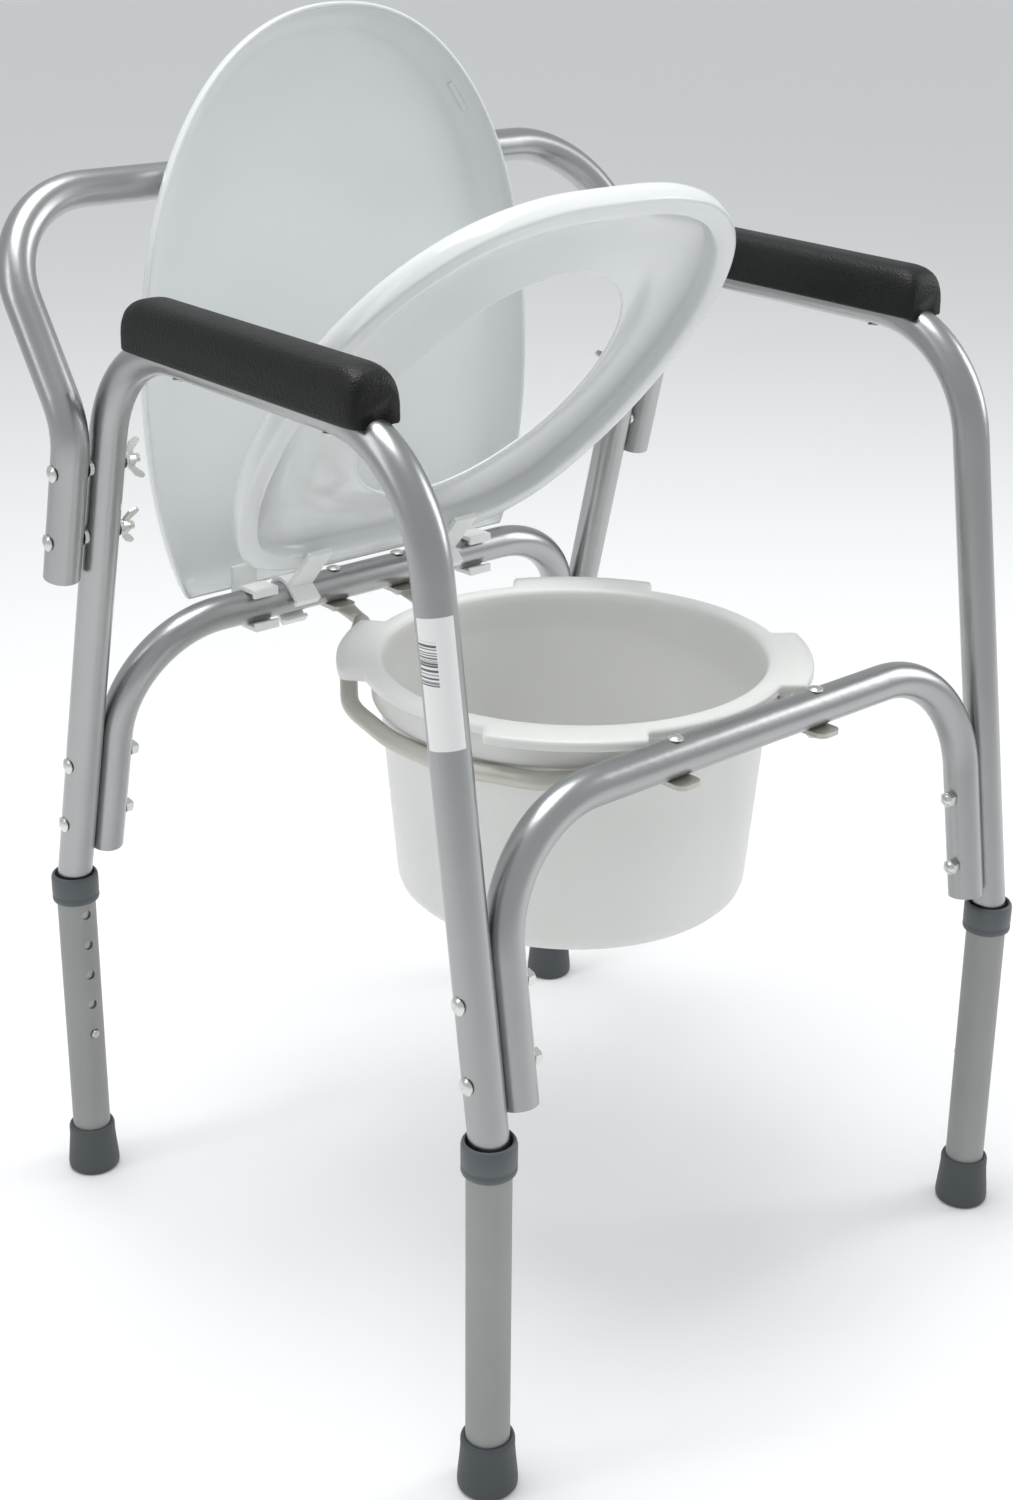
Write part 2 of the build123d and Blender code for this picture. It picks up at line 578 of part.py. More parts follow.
def lid_face(inset):
    """The lid's outline drawn in by inset: most of a superellipse, cut straight along the hinge."""
    points = []
    half_l = LID_HALF_L - inset
    last = (LID_CENTRE - LID_REAR - inset) / half_l
    for number in range(LID_STEPS + 1):
        along = 1 - (1 + last) * (1 - cos(radians(180 * number / LID_STEPS))) / 2
        across = (1 - abs(along) ** LID_POWER) ** (1 / LID_POWER)
        points.append(((LID_HALF_W - inset) * across, LID_CENTRE + half_l * along))
    with BuildSketch(LID_PLANE) as outline:
        with BuildLine():
            curve = Spline(*[(-x, s) for x, s in reversed(points)], *points[1:])
            Line(curve @ 0, curve @ 1)
        make_face()
    return outline.sketch


with BuildPart() as lid_hollow:
    extrude(lid_face(LID_WALL), amount=LID_CREST - LID_BASE - LID_WALL)
    fillet(edges().group_by(LID_UP)[-1], LID_EDGE_R - LID_WALL)
    # solid bosses above the hinge clips
    with BuildSketch(LID_PLANE) as bosses:
        for x in (-LID_CLIP_X, LID_CLIP_X):
            with Locations((x, (LID_REAR + LID_BOSS_END) / 2)):
                Rectangle(CLIP_W + 4, LID_BOSS_END - LID_REAR)
    extrude(bosses.sketch, amount=LID_CREST - LID_BASE - LID_WALL, mode=Mode.SUBTRACT)
with BuildPart() as lid:
    extrude(lid_face(0), amount=LID_CREST - LID_BASE)
    fillet(edges().group_by(LID_UP)[-1], LID_EDGE_R)
    add(lid_hollow.part, mode=Mode.SUBTRACT)
save(lid, "lid")

# --- hinge clips: hooks that snap over the rear cross tube ----------------------------------
CLIP_BORE = TUBE_R + RUN_GAP
CLIP_OUTER = CLIP_BORE + CLIP_WALL
for panel, angle, clip_x, arm in (
    ("seat", SEAT_ANGLE, SEAT_CLIP_X, ((CLIP_BORE, -2.0), (SEAT_REAR + 24, SEAT_BASE))),
    ("lid", LID_ANGLE, LID_CLIP_X, ((0.0, LID_BASE - 3.4), (LID_BOSS_END, LID_BASE))),
):
    for side, sx in SIDES.items():
        base = hinge_plane(angle, 0, sx * clip_x)
        profile_plane = Plane(origin=base.origin, x_dir=base.y_dir, z_dir=base.y_dir.cross(base.z_dir))
        with BuildPart() as clip:
            with BuildSketch(profile_plane):
                Circle(CLIP_OUTER)
                with Locations((0, -CLIP_JAW / 2)):
                    Rectangle(2 * CLIP_OUTER, CLIP_JAW)
                (s_low, n_low), (s_high, n_high) = arm
                with Locations(((s_low + s_high) / 2, (n_low + n_high) / 2)):
                    Rectangle(s_high - s_low, n_high - n_low)
                Circle(CLIP_BORE, mode=Mode.SUBTRACT)
                with Locations((0, -CLIP_BORE / 2)):
                    Rectangle(2 * CLIP_BORE, CLIP_BORE, mode=Mode.SUBTRACT)
                with Locations((0, -CLIP_JAW)):
                    Rectangle(2 * (CLIP_BORE - CLIP_HOOK), 2 * (CLIP_JAW - CLIP_BORE) + 0.1, mode=Mode.SUBTRACT)
            extrude(amount=CLIP_W / 2, both=True)
        save(clip, panel + "_clip_" + side)

# --- lid bumpers: two small bars under the lid's far end --------------------------------------
bumper_base = hinge_plane(LID_ANGLE, LID_CREST - LID_WALL - 1.0)
with BuildPart() as lid_bumpers:
    for sx in SIDES.values():
        with BuildSketch(bumper_base) as bumper:
            with BuildLine():
                Line((sx * BUMPER_NEAR[0], BUMPER_NEAR[1]), (sx * BUMPER_FAR[0], BUMPER_FAR[1]))
            trace(line_width=BUMPER_W)
        extrude(bumper.sketch, amount=-BUMPER_H)
    add(lid.part, mode=Mode.SUBTRACT)
save(lid_bumpers, "lid_bumpers")

# --- armrest pads and their screws -------------------------------------------------------------
lean = Vector(0, ARM_REAR[0] - ARM_FRONT[0], ARM_REAR[1] - ARM_FRONT[1]).normalized()
for side, sx in SIDES.items():
    start = Plane(origin=(sx * SIDE_X, PAD_FRONT_Y, arm_z(PAD_FRONT_Y)), x_dir=(1, 0, 0), z_dir=lean * -1)
    with BuildPart() as armrest:
        with BuildSketch(start) as block:
            with Locations((0, PAD_TOP / 2)):
                Rectangle(2 * PAD_HALF_W, PAD_TOP)
        extrude(block.sketch, amount=PAD_FRONT_Y - PAD_REAR_Y)
        fillet(edges().filter_by(Axis(start.origin, lean)).group_by(Axis.Z)[-1], PAD_EDGE_R)
        for end in (0, -1):
            fillet(faces().sort_by(Axis.Y)[end].edges().sort_by(Axis.Z)[1:], PAD_END_R)
        tube_along(side_route(sx), SIDE_BENDS, TUBE_R + SEAT_GAP, mode=Mode.SUBTRACT)
        for y in PAD_SCREWS_Y:
            z_hole(sx * SIDE_X, y, arm_z(y), arm_z(y) + PAD_SCREW_DEPTH + 1, PAD_SCREW_R + SEAT_GAP)
    save(armrest, "armrest_" + side)

with BuildPart() as armrest_screws:
    for sx in SIDES.values():
        for y in PAD_SCREWS_Y:
            foot = (sx * SIDE_X, y, arm_z(y) - TUBE_R - 0.1)
            domed_screw(foot, (0, 0, 1), PAD_SCREW_R, TUBE_R + PAD_SCREW_DEPTH, 4.6, 2.4)
save(armrest_screws, "armrest_screws")

# --- blank label wrapped round the front left leg ------------------------------------------------
label_low = Vector(-SIDE_X, front_leg_y(LABEL_Z[0]), LABEL_Z[0])
label_high = Vector(-SIDE_X, front_leg_y(LABEL_Z[1]), LABEL_Z[1])
with BuildPart() as label:
    with BuildSketch(Plane(origin=label_low, x_dir=(1, 0, 0), z_dir=label_high - label_low)) as wrap:
        with BuildLine():
            outside = CenterArc((0, 0), TUBE_R + LABEL_T, 225 - LABEL_HALF_ARC, 2 * LABEL_HALF_ARC)
            inside = CenterArc((0, 0), TUBE_R + 0.02, 225 - LABEL_HALF_ARC, 2 * LABEL_HALF_ARC)
            Line(outside @ 0, inside @ 0)
            Line(outside @ 1, inside @ 1)
        make_face()
    extrude(wrap.sketch, amount=(label_high - label_low).length)
save(label, "label")
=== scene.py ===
import json
import math

import bpy
from mathutils import Matrix, Vector


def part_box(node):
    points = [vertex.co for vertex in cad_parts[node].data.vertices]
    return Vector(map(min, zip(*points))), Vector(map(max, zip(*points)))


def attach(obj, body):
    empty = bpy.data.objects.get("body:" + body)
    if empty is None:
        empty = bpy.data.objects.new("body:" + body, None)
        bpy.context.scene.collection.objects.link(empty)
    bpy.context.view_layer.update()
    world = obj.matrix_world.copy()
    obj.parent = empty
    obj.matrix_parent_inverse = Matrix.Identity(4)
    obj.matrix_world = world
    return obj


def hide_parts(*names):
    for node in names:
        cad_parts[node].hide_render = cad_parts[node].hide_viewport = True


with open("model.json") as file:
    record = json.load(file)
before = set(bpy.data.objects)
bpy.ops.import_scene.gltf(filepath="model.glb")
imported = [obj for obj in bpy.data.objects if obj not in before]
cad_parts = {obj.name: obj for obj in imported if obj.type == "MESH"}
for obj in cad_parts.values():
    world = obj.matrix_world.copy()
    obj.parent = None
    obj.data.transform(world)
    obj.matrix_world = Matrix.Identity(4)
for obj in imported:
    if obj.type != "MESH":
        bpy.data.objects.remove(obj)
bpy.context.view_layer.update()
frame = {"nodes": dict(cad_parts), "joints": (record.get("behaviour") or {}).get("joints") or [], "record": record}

# Commode chair. Metres, +Z up, -Y the front, the floor at z = 0. The sections below give their
# outlines in millimetres, which MM turns into metres.
MM = 0.001

# --- places taken from the frame ---------------------------------------------------------
seat_joint = next(joint for joint in frame["joints"] if joint["name"] == "seat_hinge")
HINGE = Vector(seat_joint["pos_m"])
LEGS = ("front_left", "front_right", "rear_left", "rear_right")


def node_centre(node):
    low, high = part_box(node)
    return (Vector(low) + Vector(high)) / 2


# --- mesh helpers ------------------------------------------------------------------------
TOUCHING = 1e-6             # slack with which a ray still meets an edge's end
PARALLEL = 1e-12            # below this a ray runs along an edge


def mesh_object(name, points, faces, matrix=None):
    """A smooth-shaded mesh object from points and faces, optionally placed by a matrix."""
    mesh = bpy.data.meshes.new(name)
    if matrix is not None:
        points = [matrix @ Vector(point) for point in points]
    mesh.from_pydata([tuple(point) for point in points], [], faces)
    mesh.validate()
    for polygon in mesh.polygons:
        polygon.use_smooth = True
    mesh.update()
    piece = bpy.data.objects.new(name, mesh)
    bpy.context.scene.collection.objects.link(piece)
    return piece


def skin(rings, closed_along=False, first_cap=None, last_cap=None):
    """Quads between neighbouring closed rings of points, with optional cap points at the ends."""
    count = len(rings[0])
    points = [point for ring in rings for point in ring]
    faces = []
    spans = len(rings) if closed_along else len(rings) - 1
    for span in range(spans):
        here, there = span * count, (span + 1) % len(rings) * count
        for turn in range(count):
            after = (turn + 1) % count
            faces.append((here + turn, here + after, there + after, there + turn))
    if first_cap is not None:
        points.append(first_cap)
        faces += [(len(points) - 1, (turn + 1) % count, turn) for turn in range(count)]
    if last_cap is not None:
        points.append(last_cap)
        start = (len(rings) - 1) * count
        faces += [
            (len(points) - 1, start + turn, start + (turn + 1) % count) for turn in range(count)
        ]
    return points, faces


def flat_ring(spots, height):
    """A ring of plane points, in millimetres, at one height."""
    return [(spot.x * MM, spot.y * MM, height * MM) for spot in spots]


def round_spot(centre, bearing, radius, height):
    """A point at a radius and height, in millimetres, round an upright axis."""
    return (
        centre.x + radius * MM * math.cos(bearing),
        centre.y + radius * MM * math.sin(bearing),
        height * MM,
    )


def hinge_matrix(angle, base):
    """Panel axes hinged on the rear cross tube: X across, Y towards the free edge, Z its upper side."""
    rise = math.radians(angle)
    along = Vector((0, -math.cos(rise), math.sin(rise)))
    up = Vector((0, math.sin(rise), math.cos(rise)))
    across = along.cross(up)
    turn = Matrix((across, along, up)).transposed().to_4x4()
    return Matrix.Translation(HINGE + up * base) @ turn


def smooth_step(value, low, high):
    """0 below low, 1 above high, and an even S between them."""
    share = min(max((value - low) / (high - low), 0), 1)
    return share * share * (3 - 2 * share)


def closed_curve(corners, steps=16):
    """Catmull-Rom points through a closed list of corners."""
    count = len(corners)
    points = []
    for index in range(count):
        before, start, end, after = (
            Vector(corners[(index + offset) % count]) for offset in (-1, 0, 1, 2)
        )
        for step in range(steps):
            t = step / steps
            square = 2 * before - 5 * start + 4 * end - after
            cube = 3 * start - before - 3 * end + after
            points.append(0.5 * (2 * start + (end - before) * t + square * t * t + cube * t ** 3))
    return points


def polar(outline, centre, count):
    """The outline's points seen from centre at evenly spaced bearings."""
    middle = Vector(centre)
    found = []
    for turn in range(count):
        bearing = math.tau * turn / count
        ray = Vector((math.cos(bearing), math.sin(bearing)))
        reach = 0
        for index, start in enumerate(outline):
            offset = start - middle
            edge = outline[(index + 1) % len(outline)] - start
            cross = ray.x * edge.y - ray.y * edge.x
            if abs(cross) < PARALLEL:
                continue
            distance = (offset.x * edge.y - offset.y * edge.x) / cross
            share = (offset.x * ray.y - offset.y * ray.x) / cross
            if distance > 0 and -TOUCHING <= share <= 1 + TOUCHING:
                reach = max(reach, distance)
        found.append(middle + ray * reach)
    return found


# --- materials -----------------------------------------------------------------------------
MATERIALS = {}              # by the record's slot name
BROAD_SCALE = 9.0           # slow change of tone over a metal piece
MOULD_SCALE = 7.0           # the same over a moulded piece
METAL_RELIEF = 0.0002
PLASTIC_RELIEF = 0.0003
VINYL_RELIEF = 0.0006


def new_material(name, **sockets):
    """A Principled material whose even values sit on the shader's own sockets."""
    material = bpy.data.materials.new(name)
    material.use_nodes = True
    for socket, value in sockets.items():
        shader_of(material).inputs[socket.replace("_", " ")].default_value = value
    return material


def shader_of(material):
    return material.node_tree.nodes["Principled BSDF"]


def add_node(material, kind, **settings):
    node = material.node_tree.nodes.new(kind)
    for key, value in settings.items():
        setattr(node, key, value)
    return node


def link(material, start, end):
    material.node_tree.links.new(start, end)


def noise(material, scale, detail=4.0, stretch=(1, 1, 1)):
    """Object-space noise, stretched along an axis by a small factor there."""
    place = add_node(material, "ShaderNodeTexCoord")
    mapping = add_node(material, "ShaderNodeMapping")
    mapping.inputs["Scale"].default_value = stretch
    texture = add_node(material, "ShaderNodeTexNoise")
    texture.inputs["Scale"].default_value = scale
    texture.inputs["Detail"].default_value = detail
    link(material, place.outputs["Object"], mapping.inputs["Vector"])
    link(material, mapping.outputs["Vector"], texture.inputs["Vector"])
    return texture


def ramp(material, source, low, high, start=0.3, end=0.7):
    """A two-colour ramp over a texture's factor."""
    node = add_node(material, "ShaderNodeValToRGB")
    node.color_ramp.elements[0].position = start
    node.color_ramp.elements[1].position = end
    node.color_ramp.elements[0].color = (*low, 1)
    node.color_ramp.elements[1].color = (*high, 1)
    link(material, source, node.inputs["Fac"])
    return node


def spread(material, source, low, high):
    """A texture's factor mapped to a range."""
    node = add_node(material, "ShaderNodeMapRange")
    node.inputs["From Min"].default_value = 0.25
    node.inputs["From Max"].default_value = 0.75
    node.inputs["To Min"].default_value = low
    node.inputs["To Max"].default_value = high
    link(material, source, node.inputs["Value"])
    return node


def add_bump(material, source, strength, distance):
    bump = add_node(material, "ShaderNodeBump")
    bump.inputs["Strength"].default_value = strength
    bump.inputs["Distance"].default_value = distance
    link(material, source, bump.inputs["Height"])
    link(material, bump.outputs["Normal"], shader_of(material).inputs["Normal"])


def tone(material, texture, dark, light):
    """Base colour that drifts between two tones."""
    colour = ramp(material, texture.outputs["Fac"], dark, light)
    link(material, colour.outputs["Color"], shader_of(material).inputs["Base Color"])


def gloss(material, texture, smooth, rough):
    """Roughness that varies between two values."""
    varied = spread(material, texture.outputs["Fac"], smooth, rough)
    link(material, varied.outputs["Result"], shader_of(material).inputs["Roughness"])


def metal(name, dark, light, rough, grain, relief=0.05, stretch=(1, 1, 1), metallic=1.0):
    """Metal with fine grain in its colour, gloss and surface."""
    material = new_material(name, Metallic=metallic)
    broad = noise(material, BROAD_SCALE, 3.0)
    fine = noise(material, grain, 5.0, stretch)
    tone(material, broad, dark, light)
    gloss(material, fine, *rough)
    add_bump(material, fine.outputs["Fac"], relief, METAL_RELIEF)
    MATERIALS[name] = material


def plastic(name, dark, light, rough, glow, grain=60.0, relief=0.02):
    """Moulded plastic, slightly translucent, with a faint moulding texture."""
    material = new_material(name, Subsurface_Weight=glow, Subsurface_Scale=0.006, IOR=1.49)
    shader_of(material).inputs["Subsurface Radius"].default_value = (1.0, 1.0, 0.95)
    broad = noise(material, MOULD_SCALE, 3.0)
    fine = noise(material, grain, 4.0)
    tone(material, broad, dark, light)
    gloss(material, fine, *rough)
    add_bump(material, fine.outputs["Fac"], relief, PLASTIC_RELIEF)
    MATERIALS[name] = material


def grained_vinyl(name, dark, light, rough, cell_scale):
    """Black self-skinned foam with a fine leather grain."""
    material = new_material(name, Specular_IOR_Level=0.3)
    place = add_node(material, "ShaderNodeTexCoord")
    cells = add_node(material, "ShaderNodeTexVoronoi")
    cells.inputs["Scale"].default_value = cell_scale
    link(material, place.outputs["Object"], cells.inputs["Vector"])
    broad = noise(material, 25.0, 3.0)
    tone(material, broad, dark, light)
    gloss(material, broad, *rough)
    add_bump(material, cells.outputs["Distance"], 0.5, VINYL_RELIEF)
    MATERIALS[name] = material


LABEL_WHITE = (0.86, 0.86, 0.85)
LABEL_INK = (0.12, 0.12, 0.13)
BARS_MARGIN = 0.014         # from the label's top down to the bars
BARS_TALL = 0.026
BARS_WIDE = 0.0036
BARS_SCALE = 700.0


def math_node(material, operation, first, second):
    """A Math node over a socket and either a number or another socket."""
    node = add_node(material, "ShaderNodeMath", operation=operation)
    link(material, first, node.inputs[0])
    if isinstance(second, float):
        node.inputs[1].default_value = second
    else:
        link(material, second, node.inputs[1])
    return node.outputs[0]


def plain_label(name):
    """A white sticker with a block of plain bars and no lettering."""
    material = new_material(name, IOR=1.45, Coat_Weight=0.3)
    place = add_node(material, "ShaderNodeTexCoord")
    split = add_node(material, "ShaderNodeSeparateXYZ")
    link(material, place.outputs["Object"], split.inputs["Vector"])
    bars = add_node(material, "ShaderNodeTexNoise", noise_dimensions="1D")
    bars.inputs["Scale"].default_value = BARS_SCALE
    bars.inputs["Detail"].default_value = 2.0
    link(material, split.outputs["Z"], bars.inputs["W"])
    low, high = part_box("label")
    top = high[2] - BARS_MARGIN
    inked = math_node(material, "GREATER_THAN", bars.outputs["Fac"], 0.5)
    for output, limit, kind in (
        ("Z", top, "LESS_THAN"),
        ("Z", top - BARS_TALL, "GREATER_THAN"),
        ("X", low[0] + BARS_WIDE, "LESS_THAN"),
    ):
        inside = math_node(material, kind, split.outputs[output], limit)
        inked = math_node(material, "MULTIPLY", inked, inside)
    ink = ramp(material, inked, LABEL_WHITE, LABEL_INK, 0.0, 1.0)
    link(material, ink.outputs["Color"], shader_of(material).inputs["Base Color"])
    gloss(material, noise(material, 600.0), 0.3, 0.4)
    MATERIALS[name] = material


LENGTHWISE = (1.0, 1.0, 0.06)
metal("frame_aluminium", (0.37, 0.375, 0.375), (0.42, 0.425, 0.425), (0.27, 0.34), grain=900.0,
      stretch=LENGTHWISE)
metal("sleeve_aluminium", (0.3, 0.305, 0.298), (0.34, 0.345, 0.338), (0.5, 0.58), grain=900.0,
      stretch=LENGTHWISE, metallic=0.6)
metal("fastener_zinc", (0.62, 0.62, 0.6), (0.74, 0.74, 0.72), (0.2, 0.32), grain=1500.0, relief=0.06)
metal("spring_steel", (0.5, 0.49, 0.46), (0.6, 0.59, 0.56), (0.25, 0.35), grain=1500.0)
metal("rail_steel", (0.5, 0.49, 0.44), (0.56, 0.55, 0.5), (0.38, 0.46), grain=700.0, metallic=0.55)
grained_vinyl("armrest_vinyl", (0.002, 0.0022, 0.0022), (0.005, 0.0052, 0.0052), (0.4, 0.52), 700.0)
plastic("collar_plastic", (0.075, 0.087, 0.095), (0.095, 0.107, 0.115), (0.42, 0.52), glow=0.0)
plastic("tip_rubber", (0.055, 0.064, 0.068), (0.07, 0.079, 0.083), (0.5, 0.65), glow=0.0,
        grain=900.0, relief=0.2)
plastic("pail_plastic", (0.71, 0.71, 0.69), (0.75, 0.75, 0.73), (0.3, 0.38), glow=0.3)
plastic("seat_plastic", (0.7, 0.72, 0.72), (0.74, 0.76, 0.76), (0.16, 0.22), glow=0.2)
plastic("clip_plastic", (0.8, 0.81, 0.8), (0.84, 0.85, 0.84), (0.4, 0.5), glow=0.2)
plain_label("label_film")


def finish_piece(piece, body, slot, node):
    """Gives a piece its slot's material and its body, and hides the CAD node that it stands for."""
    piece.data.materials.append(MATERIALS[slot])
    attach(piece, body)
    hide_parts(node)


# every part that stays as the CAD made it takes its slot's material
for part in frame["record"]["subparts"]:
    node = frame["nodes"][part["node"]]
    for place in node.material_slots:
        place.link = "OBJECT"
        place.material = MATERIALS[part["material_slot"]]


# --- seat ring -------------------------------------------------------------------------------
SEAT_ANGLE = 48.7
SEAT_BASE = 2.0 * MM
# half the outline: across, away from the hinge
SEAT_OUTLINE = [
    (0, 423), (60, 419), (112, 398), (152, 357), (176, 300), (184, 238), (179, 165), (163, 108),
    (137, 62), (97, 38), (50, 33),
]
SEAT_HOLE_CENTRE = Vector((0, 227.5))
SEAT_HOLE_HALF = (100, 122.5)
# from the inner wall round under the rim and over the crest: distance in from the edge, height
SEAT_OUTER_SECTION = [
    (17.2, 14.0), (17.0, 6.0), (16.4, 2.2), (15.6, 0.8), (14.4, 0.1), (9.0, 0.0), (3.0, 0.0),
    (1.0, 0.3), (0.2, 1.2), (0.0, 3.0), (0.0, 8.0), (0.4, 11.2), (1.6, 14.8), (3.8, 18.0),
    (7.0, 20.4), (11.0, 21.7), (16.0, 22.0), (22.0, 21.6),
]
# down the slope, round the opening's lip and back underneath: distance out from the opening, height
SEAT_INNER_SECTION = [
    (34.0, 18.6), (24.0, 15.4), (14.0, 11.6), (7.0, 8.9), (3.0, 7.4), (1.0, 6.4), (0.1, 5.4),
    (0.0, 4.6), (0.6, 4.1), (1.8, 4.0), (3.2, 4.4), (8.0, 6.2), (16.0, 9.4), (26.0, 13.2),
    (36.0, 16.4),
]
SEAT_ROLL_W = 24.0          # the outer section's own width, which the slope stays clear of
SEAT_BEARINGS = 180


def build_seat():
    mirrored = [(-x, s) for x, s in reversed(SEAT_OUTLINE[1:])]
    outer = polar(closed_curve(SEAT_OUTLINE + mirrored), SEAT_HOLE_CENTRE, SEAT_BEARINGS)
    rays = [(point - SEAT_HOLE_CENTRE).normalized() for point in outer]
    inner = []
    for ray in rays:
        reach = 1 / math.hypot(ray.x / SEAT_HOLE_HALF[0], ray.y / SEAT_HOLE_HALF[1])
        inner.append(SEAT_HOLE_CENTRE + ray * reach)
    slope = SEAT_INNER_SECTION[-1][0]
    shares = [min(1.0, ((far - near).length - SEAT_ROLL_W) / slope) for far, near in zip(outer, inner)]
    rings = []
    for distance, height in SEAT_OUTER_SECTION:
        rings.append(flat_ring([far - ray * distance for far, ray in zip(outer, rays)], height))
    for distance, height in SEAT_INNER_SECTION:
        spots = [near + ray * distance * share for near, ray, share in zip(inner, rays, shares)]
        rings.append(flat_ring(spots, height))
    points, faces = skin(rings, closed_along=True)
    piece = mesh_object("seat_ring", points, faces, hinge_matrix(SEAT_ANGLE, SEAT_BASE))
    finish_piece(piece, "seat", "seat_plastic", "seat")


build_seat()

# --- lid ---------------------------------------------------------------------------------------
LID_ANGLE = 90.4
LID_HALF_W = 178.0
LID_HALF_L = 265.0
LID_CENTRE = 161.0
LID_POWER = 2.19
LID_REAR = 10.0
LID_BEARINGS = 200
LID_STEPS = 90
LID_MIDDLE = Vector((0, 205.0))
# from the hollow round the rim and over the dome: distance in from the edge, height off the hinge
LID_SECTION = [
    (46.0, 34.8), (30.0, 34.3), (20.0, 33.2), (13.0, 31.2), (8.0, 27.8), (5.0, 24.0), (3.6, 20.6),
    (3.0, 18.0), (2.9, 16.2), (2.6, 15.3), (1.6, 15.0), (0.5, 15.2), (0.0, 16.2), (0.0, 18.2),
    (0.5, 21.4), (2.0, 25.4), (5.0, 29.7), (10.0, 33.6), (17.0, 36.2), (28.0, 37.4), (44.0, 37.8),
]
# inside that section: share of the way from the edge to the middle, height
LID_HOLLOW = [(0.75, 35.0), (0.5, 34.9)]
LID_DOME = [(0.5, 37.9), (0.75, 38.0)]
LID_HOLLOW_TOP = 35.0
LID_DOME_TOP = 38.0


def lid_outline():
    """A superellipse cut off level near the hinge."""
    cut = (LID_CENTRE - LID_REAR) / LID_HALF_L
    outline = []
    for number in range(-LID_STEPS, LID_STEPS + 1):
        along = 1 - (1 + cut) * (1 - math.cos(math.pi * abs(number) / LID_STEPS)) / 2
        across = math.copysign((1 - abs(along) ** LID_POWER) ** (1 / LID_POWER), number)
        outline.append(Vector((LID_HALF_W * across, LID_CENTRE + LID_HALF_L * along)))
    return outline


def build_lid():
    edge = polar(lid_outline(), LID_MIDDLE, LID_BEARINGS)
    spokes = [point - LID_MIDDLE for point in edge]

    def scaled(share, height):
        return flat_ring([LID_MIDDLE + spoke * (1 - share) for spoke in spokes], height)

    rings = [scaled(share, height) for share, height in LID_HOLLOW]
    for distance, height in LID_SECTION:
        spots = [point - spoke.normalized() * distance for point, spoke in zip(edge, spokes)]
        rings.append(flat_ring(spots, height))
    rings += [scaled(share, height) for share, height in LID_DOME]
    under = flat_ring([LID_MIDDLE], LID_HOLLOW_TOP)[0]
    over = flat_ring([LID_MIDDLE], LID_DOME_TOP)[0]
    points, faces = skin(rings, first_cap=under, last_cap=over)
    piece = mesh_object("lid_shell", points, faces, hinge_matrix(LID_ANGLE, 0))
    finish_piece(piece, "lid", "seat_plastic", "lid")


build_lid()

# --- pail --------------------------------------------------------------------------------------
PAIL_BEARINGS = 360
TAB_HALF = math.radians(20.5)
TAB_EASE = math.radians(2.2)
RIB_PITCH = math.radians(15)
RIB_HALF = math.radians(1.2)
RIB_OUT = 0.4
# from the floor up the inside, over the flange and down the outside: radius, height, share of the
# tabs' reach, share of the ribs' height
PAIL_SECTION = [
    (60.0, 285.7, 0, 0), (108.0, 285.8, 0, 0), (114.5, 286.2, 0, 0), (119.0, 288.4, 0, 0),
    (121.9, 292.0, 0, 0), (122.8, 297.0, 0, 0), (126.0, 335.0, 0, 0), (130.0, 381.0, 0, 0),
    (133.6, 424.0, 0, 0), (134.0, 446.0, 0, 0), (134.4, 452.0, 0, 0), (135.4, 454.6, 0, 0),
    (137.2, 455.7, 0, 0), (141.0, 455.9, 0.1, 0), (146.0, 455.5, 0.6, 0), (148.6, 454.9, 1, 0),
    (149.8, 453.4, 1, 0), (150.0, 451.6, 1, 0), (149.9, 448.9, 1, 0), (149.3, 448.1, 1, 0),
    (148.3, 448.3, 1, 0), (147.4, 450.2, 1, 0), (145.4, 450.6, 0.6, 0), (143.2, 449.4, 0.1, 0),
    (142.2, 446.0, 0, 0), (142.1, 443.5, 0, 1), (142.1, 430.5, 0, 1), (142.2, 428.4, 0, 0),
    (141.6, 426.9, 0, 0), (139.6, 426.3, 0, 0), (137.4, 426.0, 0, 0), (136.4, 424.8, 0, 0),
    (132.9, 385.0, 0, 0), (129.3, 342.0, 0, 0), (125.6, 299.0, 0, 0), (125.0, 293.0, 0, 0),
    (123.4, 288.6, 0, 0), (119.6, 284.9, 0, 0), (113.6, 283.2, 0, 0), (104.0, 283.0, 0, 0),
    (60.0, 283.0, 0, 0),
]
PAIL_INSIDE_Z = 285.6
PAIL_BOTTOM_Z = 283.0
TAB_REACH = 16.4
TAB_LIFT = 1.0


def build_pail():
    centre = node_centre("pail")
    bearings = [math.tau * turn / PAIL_BEARINGS for turn in range(PAIL_BEARINGS)]
    tabs, ribs = [], []
    for bearing in bearings:
        off_tab = abs((bearing % (math.pi / 2)) - math.pi / 4)
        tabs.append(1 - smooth_step(off_tab, TAB_HALF - TAB_EASE, TAB_HALF))
        off_rib = abs((bearing + RIB_PITCH / 2) % RIB_PITCH - RIB_PITCH / 2)
        ribs.append(1 - smooth_step(off_rib, RIB_HALF * 0.6, RIB_HALF * 1.4))
    rings = []
    for radius, height, tab_share, rib_share in PAIL_SECTION:
        ring = []
        for bearing, tab, rib in zip(bearings, tabs, ribs):
            reach = radius + TAB_REACH * tab_share * tab + RIB_OUT * rib_share * rib
            ring.append(round_spot(centre, bearing, reach, height + TAB_LIFT * tab_share * tab))
        rings.append(ring)
    inside = round_spot(centre, 0, 0, PAIL_INSIDE_Z)
    bottom = round_spot(centre, 0, 0, PAIL_BOTTOM_Z)
    points, faces = skin(rings, first_cap=inside, last_cap=bottom)
    finish_piece(mesh_object("pail_shell", points, faces), "pail", "pail_plastic", "pail")


build_pail()


